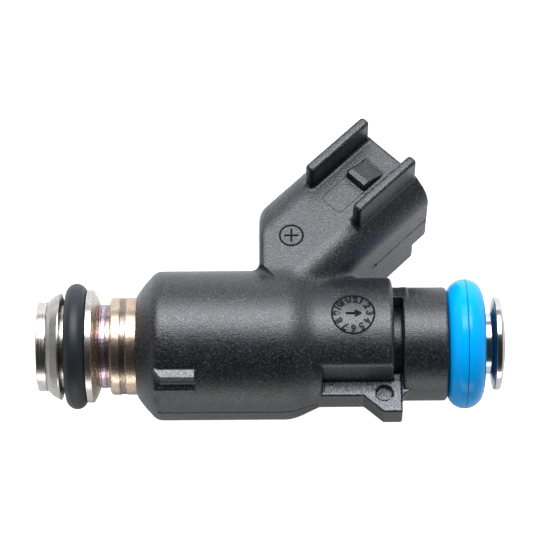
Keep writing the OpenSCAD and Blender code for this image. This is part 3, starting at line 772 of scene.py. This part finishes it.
# painted shade: the dark band from 50.7 to 51.35 mm, on the flare and the flange's underside, stands in for
# the shade and dark reflection under the flange
INLET = welded_metal("inlet_steel", [
    (49.0, (0.66, 0.67, 0.68)), (50.7, (0.62, 0.63, 0.64)), (50.9, (0.2, 0.21, 0.23)),
    (51.2, (0.22, 0.22, 0.24)), (51.35, (0.6, 0.58, 0.56)), (52.2, (0.62, 0.61, 0.6)),
], rough=(0.1, 0.2), stain=0.0)
NECK = welded_metal("neck_steel", [
    (5.0, (0.58, 0.56, 0.54)), (6.3, (0.56, 0.52, 0.48)), (6.8, (0.58, 0.47, 0.34)),
    (7.0, (0.24, 0.17, 0.13)), (7.2, (0.44, 0.32, 0.42)), (7.45, (0.58, 0.46, 0.54)),
    (7.65, (0.36, 0.28, 0.44)), (7.85, (0.22, 0.17, 0.15)), (8.1, (0.5, 0.4, 0.3)),
])
SHELL = welded_metal("shell_steel", [
    (8.1, (0.58, 0.47, 0.38)), (9.15, (0.60, 0.48, 0.37)), (9.35, (0.24, 0.19, 0.16)),
    (9.95, (0.28, 0.22, 0.18)), (10.1, (0.60, 0.48, 0.38)), (10.8, (0.56, 0.43, 0.33)),
    (11.4, (0.42, 0.30, 0.24)),
])
BLUE = rubber("blue_rubber", (0.0, 0.36, 0.88), (0.0, 0.33, 0.82), (0.13, 0.2), 0.15,
              (BACKING_TOP + UPPER_RING_D / 2, 0.045, 6.4))
BLACK_RUBBER = rubber("black_rubber", (0.011, 0.016, 0.021), (0.007, 0.011, 0.015), (0.4, 0.55), 0.38)
MAGNET = plain_metal("magnet_steel", (0.5, 0.5, 0.52))
STAMPED = plain_metal("stamped_steel", (0.62, 0.61, 0.6))
POLISHED = plain_metal("polished_steel", (0.72, 0.72, 0.74), rough=(0.08, 0.16))
BOBBIN = plastic("bobbin_nylon", (0.035, 0.035, 0.04))
COPPER = plain_metal("enamelled_copper", (0.72, 0.26, 0.09), rough=(0.2, 0.3))
TIN = plain_metal("tinned_brass", (0.72, 0.69, 0.6), rough=(0.2, 0.34))
FILTER = plastic("filter_nylon", (0.34, 0.33, 0.29))
CLOTH = plain_metal("filter_wire", (0.6, 0.6, 0.58), rough=(0.3, 0.45))

make_body(NYLON)


def make_tip():
    outline = rounded([
        (SPRAY_R, 0.06, 0.12), (4.2, 0.06, 0.03), (4.28, 0, 0.03), (TIP_R, 0, 0.14),
        (TIP_R, TIP_T, 0.1), (SPRAY_R, TIP_T, 0),
    ])
    lathe("tip_disc", outline, STEEL, replaces=("tip_cap",))


def make_retainer():
    base = TIP_T + 0.02
    top = base + RETAINER_T
    outline = rounded([
        (GROOVE_R, base, 0), (TIP_R, base, 0.15), (TIP_R + RETAINER_T, top, 0.2),
        (RETAINER_R, RETAINER_TOP - 0.2, 0.05), (RETAINER_R, RETAINER_TOP, 0.08),
        (RETAINER_R - 0.24, RETAINER_TOP, 0.08), (TIP_R + 0.28, top + 0.22, 0.2),
        (GROOVE_R + 0.2, top, 0.1), (GROOVE_R, top, 0),
    ])
    lathe("seal_retainer", outline, RETAINER_STEEL, replaces=("lower_seal_retainer",))


def ring_outline(centre_r, centre_z, section, flash, flat_r=0.0, steps=44):
    """A seal's section: round, flat inside flat_r, and cut back a little at its outer crown.

    The flash is the further depth of the moulding line along the middle of that cut."""
    out = []
    for k in range(steps):
        angle = 2 * math.pi * k / steps
        radius = section / 2
        out.append((max(centre_r + radius * math.cos(angle), flat_r), centre_z + radius * math.sin(angle)))
    half, sink = 0.045, 0.012
    edge = centre_r + section / 2 - sink
    out[0:1] = [(edge, centre_z - half), (edge - flash, centre_z - half / 2),
                (edge - flash, centre_z + half / 2), (edge, centre_z + half)]
    return out


def make_seals():
    lower = ring_outline(GROOVE_R + LOWER_RING_D / 2, COLLAR_Z - LOWER_RING_D / 2, LOWER_RING_D, 0.0)
    lathe("lower_seal", lower, BLACK_RUBBER, replaces=("lower_o_ring",), steps=180, sharp=60)
    upper = ring_outline(
        UPPER_RING_R - UPPER_RING_D / 2, BACKING_TOP + UPPER_RING_D / 2, UPPER_RING_D, 0.03, INLET_R, 64)
    lathe("upper_seal", upper, BLUE, replaces=("upper_o_ring",), steps=200, sharp=60)


def weld_ripple(points):
    """Overlapping weld pools: a low ripple round the bead."""
    bead_z, bead_half, height, pools = 7.45, 0.3, 0.022, 30
    r = np.hypot(points[:, 0], points[:, 1])
    angle = np.arctan2(points[:, 1], points[:, 0])
    bead = np.clip(1 - np.abs(points[:, 2] - bead_z) / bead_half, 0, 1) * (r > NECK_R - 0.05)
    grow = 1 + bead * height * np.abs(np.sin(angle * pools + points[:, 2] * 2)) / r
    return points * np.stack([grow, grow, np.ones(len(r))], -1)


def make_valve_body():
    cone_top = COLLAR_Z + COLLAR_T + COLLAR_CONE
    bead_r = NECK_R + 0.05
    bead = [(NECK_R, 7.15, 0.05), (bead_r, 7.28, 0.1), (bead_r, 7.62, 0.1), (NECK_R, 7.75, 0.05)]
    outline = rounded([
        (SEAT_R, TIP_T, 0), (GROOVE_R, TIP_T, 0), (GROOVE_R, COLLAR_Z, 0.12), (COLLAR_R, COLLAR_Z, 0.12),
        (COLLAR_R, COLLAR_Z + COLLAR_T, 0.14), (5.5, 6.72, 0.35), (NECK_R, cone_top - 0.15, 0.2), *bead,
        (NECK_R, BODY_TOP, 0), (NONMAG_R, BODY_TOP, 0), (NONMAG_R, NONMAG_Z, 0),
        (GUIDE_R, NONMAG_Z, 0), (GUIDE_R, SEAT_BORE_TOP, 0), (SEAT_R, SEAT_BORE_TOP, 0),
    ])
    lathe("valve_housing", outline, NECK, replaces=("valve_body",), steps=240, shape=weld_ripple)


def make_shell():
    outline = rounded([
        (NECK_R, SHELL_Z, 0), (SHELL_R, SHELL_Z, 0.35), (SHELL_R, 9.3, 0.03), (SHELL_R - 0.06, 9.38, 0.05),
        (SHELL_R - 0.06, 9.95, 0.05), (SHELL_R, 10.03, 0.03), (SHELL_R, CAN_Z, 0), (CAN_R, CAN_Z, 0.5),
        (CAN_R, CAN_TOP, 0.1), (CAN_R - CAN_WALL, CAN_TOP, 0.1), (CAN_R - CAN_WALL, CAN_Z + CAN_FLOOR_T, 0.2),
        (NECK_R, CAN_Z + CAN_FLOOR_T, 0),
    ])
    lathe("coil_can", outline, SHELL, replaces=("coil_housing",), steps=160)


def make_inlet():
    outline = rounded([
        (INLET_BORE_R, CAN_TOP, 0), (INLET_R, CAN_TOP, 0), (INLET_R, 49.6, 0.3), (NECK_FILLET_R, 49.9, 0.3),
        (NECK_FILLET_R, FLARE_Z + 0.12, 0.2), (FLANGE_R - 0.5, FLANGE_Z - 0.04, 0.1),
        (FLANGE_R, FLANGE_Z - 0.04, 0.45),
        (FLANGE_R, FLANGE_TOP - 0.1, 0.45), (FLANGE_R - 0.62, FLANGE_TOP - 0.1, 0.05),
        (FLANGE_R - 0.68, FLANGE_TOP, 0.08), (FILTER_RIM_R + 0.25, FLANGE_TOP, 0.12),
        (FILTER_RIM_R, FLANGE_TOP - 0.12, 0.08), (FILTER_RIM_R, FLANGE_TOP - FILTER_STEP, 0),
        (INLET_BORE_R, FLANGE_TOP - FILTER_CONE, 0),
    ], arc=8)
    lathe("inlet_pipe", outline, INLET, replaces=("inlet_tube",), steps=180)


def make_winding():
    wire = 0.24
    turns = int((WINDING_TOP - WINDING_Z) / wire)
    pitch = (WINDING_TOP - WINDING_Z) / turns
    outer = []
    for i in range(turns):
        for k in range(4):
            angle = math.pi * (k / 4 - 0.5)
            outer.append((WINDING_R - pitch / 2 + pitch / 2 * math.cos(angle),
                          WINDING_Z + pitch * (i + 0.5) + pitch / 2 * math.sin(angle)))
    outline = [
        (WINDING_CORE_R, WINDING_Z), *outer,
        (WINDING_R - pitch / 2, WINDING_TOP), (WINDING_CORE_R, WINDING_TOP),
    ]
    lathe("copper_winding", outline, COPPER, replaces=("coil_winding",), steps=72)


def make_terminals():
    """Two bent strips with chamfered blade tips."""
    half = BLADE_T / 2
    along = np.array([math.sin(CONN_ANGLE), math.cos(CONN_ANGLE)])
    across = np.array([-math.cos(CONN_ANGLE), math.sin(CONN_ANGLE)])
    bend = (RUN_Z - CONN_Z) * math.tan(CONN_ANGLE)
    miter = half * math.tan((math.pi / 2 - CONN_ANGLE) / 2)
    tip = np.array([0, CONN_Z]) + (CONN_LEN - BLADE_TIP) * along
    neck = tip - 0.7 * along
    side = [
        (STUB_X - half, STUB_Z), (STUB_X - half, RUN_Z + half), (bend - miter, RUN_Z + half),
        neck + half * across, tip + 0.35 * half * across, tip - 0.35 * half * across, neck - half * across,
        (bend + miter, RUN_Z - half), (STUB_X + half, RUN_Z - half), (STUB_X + half, STUB_Z),
    ]
    n = len(side)
    tip_corners, tip_share = (4, 5), 0.55
    for name, node, sign in (("terminal_a", "terminal_upper", 1), ("terminal_b", "terminal_lower", -1)):
        points = []
        for edge in (-1, 1):
            for i, (x, z) in enumerate(side):
                width = BLADE_W / 2 * (tip_share if i in tip_corners else 1)
                points.append((x, sign * PIN_PITCH / 2 + edge * width, z))
        faces = [tuple(range(n)), tuple(range(2 * n - 1, n - 1, -1))]
        faces += [(i, n + i, n + (i + 1) % n, (i + 1) % n) for i in range(n)]
        faces = [f[::-1] for f in faces]
        piece = make_object(name, points, faces, TIN, replaces=(node,), sharp=30)
        bevel = piece.modifiers.new("edge", "BEVEL")
        bevel.width = 0.05 * MM
        bevel.segments = 2


def make_spring():
    """The valve's return spring, with a closed coil at each end."""
    low, high = (np.array(corner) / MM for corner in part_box("return_spring"))
    active = high[2] - low[2] - 3 * SPRING_WIRE
    u = np.linspace(0, 1, SPRING_COILS * 32)
    dead = 1 / SPRING_COILS
    closed = SPRING_WIRE * (np.minimum(u, dead) + np.maximum(u - 1 + dead, 0)) / dead
    opened = active * np.clip((u - dead) / (1 - 2 * dead), 0, 1)
    angle = 2 * math.pi * SPRING_COILS * u
    z = low[2] + SPRING_WIRE / 2 + closed + opened
    path = np.stack([SPRING_R * np.cos(angle), SPRING_R * np.sin(angle), z], -1)
    points, faces = sweep_tube(path, SPRING_WIRE / 2, 12)
    spring = make_object("valve_spring", points, faces, POLISHED, replaces=("return_spring",))
    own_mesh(spring)


def make_filter_cloth():
    """A sleeve of woven wire: hoops, and straight wires that pass in and out of them."""
    wire, swing, hoops, posts = 0.028, 0.026, 40, 36
    middle = MESH_R - MESH_T / 2
    pitch = (MESH_TOP - MESH_Z - 2 * wire) / (hoops - 1)
    parts = []
    for i in range(hoops):
        angle = np.arange(4 * posts) * 2 * math.pi / (4 * posts)
        radius = middle + swing * np.cos(angle * posts / 2) * (1 if i % 2 else -1)
        z = np.full(len(angle), MESH_Z + wire + pitch * i)
        path = np.stack([radius * np.cos(angle), radius * np.sin(angle), z], -1)
        parts.append(sweep_tube(path, wire, 4, True))
    for j in range(posts):
        steps = 2 * hoops
        z = np.linspace(MESH_Z + wire, MESH_TOP - wire, steps)
        phase = np.pi * (z - MESH_Z - wire) / pitch
        radius = middle - swing * np.cos(phase) * (1 if j % 2 else -1)
        angle = 2 * math.pi * j / posts
        path = np.stack([radius * math.cos(angle), radius * math.sin(angle), z], -1)
        parts.append(sweep_tube(path, wire, 4))
    points, faces = join_meshes(parts)
    make_object("filter_cloth", points, faces, CLOTH, replaces=("filter_mesh",))


make_tip()
make_retainer()
make_seals()
make_valve_body()
make_shell()
make_inlet()
make_winding()
make_terminals()
make_spring()
make_filter_cloth()


def make_pin_mark():
    """A plain ring with a plus sign in it, on the connector's root, in the near-black of painted shade."""
    mark_u, mark_w, mark_r, bead, arm_l = 0.45, 13.95, 1.3, 0.12, 0.8
    face_y = CONN_HY - 0.01
    u, w = ring_path(mark_r)
    parts = [sweep_tube(from_connector(mark_u + u, face_y, mark_w + w), bead, 6, True)]
    arm = np.linspace(-arm_l, arm_l, 6)
    for turn in (0.25 * math.pi, 0.75 * math.pi):
        u, w = arm * math.cos(turn), arm * math.sin(turn)
        parts.append(sweep_tube(from_connector(mark_u + u, face_y, mark_w + w), bead, 6))
    points, faces = join_meshes(parts)
    make_object("pin_mark", points, faces, MARK_SHADE)


DIAL_Z, DIAL_R, DIGIT_R = 35.25, 2.35, 1.78


def make_dial():
    """The date dial on the barrel: a ring and an arrow that points along the axis, in the near-black of
    painted shade.
    """
    ring_bead, arrow_bead = 0.11, 0.14
    x, z = ring_path(DIAL_R, 96)
    parts = [sweep_tube(on_barrel(x, DIAL_Z + z), ring_bead, 6, True)]
    arrow = [
        ((-0.8, 0), (0.8, 0)), ((0.85, 0), (0.2, 0.36)),
        ((0.85, 0), (0.2, -0.36)), ((0.5, -0.12), (0.5, 0.12)),
    ]
    for (z0, x0), (z1, x1) in arrow:
        zs, xs = np.linspace(z0, z1, 6), np.linspace(x0, x1, 6)
        parts.append(sweep_tube(on_barrel(xs, DIAL_Z + zs), arrow_bead, 6))
    points, faces = join_meshes(parts)
    make_object("date_dial", points, faces, MARK_SHADE)


def make_digit(number):
    """One of the dial's numbers, standing on the barrel with its top away from the dial's middle, in the
    near-black of painted shade.
    """
    angle = math.radians(90 - 30 * number)
    curve = bpy.data.curves.new("digit", "FONT")
    curve.body = str(number)
    curve.size = 1.12
    curve.offset = 0.035
    curve.align_x, curve.align_y = "CENTER", "CENTER"
    curve.extrude = 0.075
    holder = place_object("digit", curve)
    bpy.context.view_layer.update()
    flat = bpy.data.meshes.new_from_object(holder)
    bpy.data.objects.remove(holder)
    turn = angle - math.pi / 2
    co = np.array([v.co for v in flat.vertices])
    faces = [tuple(p.vertices)[::-1] for p in flat.polygons]
    right = co[:, 0] * math.cos(turn) - co[:, 1] * math.sin(turn) + DIGIT_R * math.cos(angle)
    up = co[:, 0] * math.sin(turn) + co[:, 1] * math.cos(turn) + DIGIT_R * math.sin(angle)
    points = on_barrel(up, DIAL_Z + right, co[:, 2])
    make_object(f"dial_digit_{number:02d}", points, faces, MARK_SHADE, sharp=30)


def make_mould_lines():
    """Thin flash where the mould's halves met, on the connector's far side and along the barrel; a dot on
    that side of the connector; and the outline of the panel behind the latch's catch.
    """
    # painted shade: the lines are drawn in the near-black mark colour, darker than the body nylon
    bead = 0.035
    w = np.linspace(20.2, CONN_LEN - 0.3, 24)
    inner = from_connector(-CONN_HW, 0 * w, w)
    z = np.linspace(FULL_Z + 0.2, FLAT_Z - 0.2, 60)
    barrel = np.stack([-barrel_radius(z), 0 * z, z], -1)
    dot = from_connector(np.full(2, -CONN_HW), np.array([-0.09, 0.09]), np.full(2, 20.9))
    parts = [sweep_tube(inner, bead), sweep_tube(barrel, bead), sweep_tube(dot, 0.13, 8)]
    half, back, corner = 1.45, 4.1, 0.6
    catch = CONN_LEN - RAMP_START - RAMP_LEN
    angle = np.linspace(0, math.pi / 2, 7)
    left_u = half - corner + corner * np.cos(angle)
    end_w = catch - back + corner - corner * np.sin(angle)
    panel_u = np.concatenate([[half], left_u, -left_u[::-1], [-half]])
    panel_w = np.concatenate([[catch], end_w, end_w[::-1], [catch]])
    parts.append(sweep_tube(from_connector(panel_u, CONN_HY, panel_w), bead))
    points, faces = join_meshes(parts)
    make_object("mould_lines", points, faces, MARK_SHADE)


make_pin_mark()
make_dial()
for dial_number in range(1, 13):
    make_digit(dial_number)
make_mould_lines()

# -------------------- CAD pieces that stay
KEPT = {
    "pole_piece": MAGNET, "armature": MAGNET, "flux_washer": MAGNET,
    "adjusting_tube": STAMPED, "valve_tube": STAMPED, "ball_guide": STAMPED, "valve_seat": STAMPED,
    "nonmagnetic_shell": STAMPED, "director_plate": STAMPED,
    "valve_ball": POLISHED,
    "coil_bobbin": BOBBIN, "filter_frame": FILTER,
}
for node, material in KEPT.items():
    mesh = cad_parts[node].data
    mesh.materials.clear()
    mesh.materials.append(material)

# -------------------- floor, light and world
def make_floor():
    """The pale sheet that the injector lies on, behind it as the camera looks. It shows its front only.

    It glows more in what the camera sees directly than in the light that it throws on the injector, so it
    looks plain white and shows no shadow."""
    centre = -TOWARD * FLOOR_DEPTH + AXIS * LOOK_Z
    signs = ((-1, -1), (1, -1), (1, 1), (-1, 1))
    corners = [centre + AXIS * a * FLOOR_HALF + UP * b * FLOOR_HALF for a, b in signs]
    mesh = bpy.data.meshes.new("floor")
    mesh.from_pydata(corners, [], [(0, 1, 2, 3)])
    mesh.update()
    if mesh.polygons[0].normal.dot(TOWARD) < 0:
        mesh.flip_normals()
    material = bpy.data.materials.new("pale_floor")
    material.use_nodes = True
    tree = material.node_tree
    shader = tree.nodes["Principled BSDF"]
    shader.inputs["Base Color"].default_value = FLOOR_TONE
    shader.inputs["Roughness"].default_value = 0.9
    shader.inputs["Emission Color"].default_value = (1, 1, 1, 1)
    seen = tree.nodes.new("ShaderNodeLightPath").outputs["Is Camera Ray"]
    link(tree, range_node(tree, seen, 0, 1, 0.15, 0.9), shader.inputs["Emission Strength"])
    clear = tree.nodes.new("ShaderNodeBsdfTransparent")
    facing = tree.nodes.new("ShaderNodeNewGeometry").outputs["Backfacing"]
    mix = tree.nodes.new("ShaderNodeMixShader")
    link(tree, facing, mix.inputs[0])
    link(tree, shader.outputs[0], mix.inputs[1])
    link(tree, clear.outputs[0], mix.inputs[2])
    link(tree, mix.outputs[0], tree.nodes["Material Output"].inputs["Surface"])
    mesh.materials.append(material)
    floor = place_object("floor", mesh)


def make_area(name, angle, distance, width, length, power, colour=(1, 1, 1)):
    """A soft box at an angle above the camera's direction, facing the middle of the injector."""
    data = bpy.data.lights.new(name, "AREA")
    data.shape = "RECTANGLE"
    data.size, data.size_y = length, width
    data.energy = power
    data.color = colour
    lamp = place_object(name, data)
    lamp.visible_camera = False
    away = TOWARD * math.cos(angle) + UP * math.sin(angle)
    side = away.cross(AXIS)
    turn = Matrix((AXIS, -side, away)).transposed()
    lamp.matrix_world = Matrix.Translation(AXIS * LOOK_Z + away * distance) @ turn.to_4x4()


def make_world():
    """White all round, with a dark patch on the side of the main view.

    The patch is fixed in space. Directly seen, the world is plain white."""
    world = bpy.data.worlds.new("studio")
    bpy.context.scene.world = world
    world.use_nodes = True
    tree = world.node_tree
    tree.nodes.clear()
    out = tree.nodes.new("ShaderNodeOutputWorld")
    direction = tree.nodes.new("ShaderNodeTexCoord").outputs["Generated"]
    tilt = math.radians(-20)
    dark_way = TOWARD * math.cos(tilt) + UP * math.sin(tilt)
    toward = dot_node(tree, direction, dark_way)
    level = range_node(tree, toward, 0.3, 0.85, 0.48, 0.03, smooth=True)
    seen = tree.nodes.new("ShaderNodeLightPath").outputs["Is Camera Ray"]
    shown = math_node(tree, "MAXIMUM", level, seen)
    background = tree.nodes.new("ShaderNodeBackground")
    background.inputs["Color"].default_value = (1, 1, 1, 1)
    link(tree, shown, background.inputs["Strength"])
    link(tree, background.outputs[0], out.inputs[0])


make_floor()
make_world()
make_area("key", math.radians(50), distance=0.25, width=0.22, length=0.28, power=0.72, colour=LAMP_COLOUR)
make_area("core", math.radians(42), distance=0.24, width=0.085, length=0.24, power=0.5, colour=LAMP_COLOUR)
make_area("low", math.radians(-86), distance=0.42, width=0.18, length=0.5, power=0.75)
bpy.context.scene.view_settings.view_transform = "Standard"
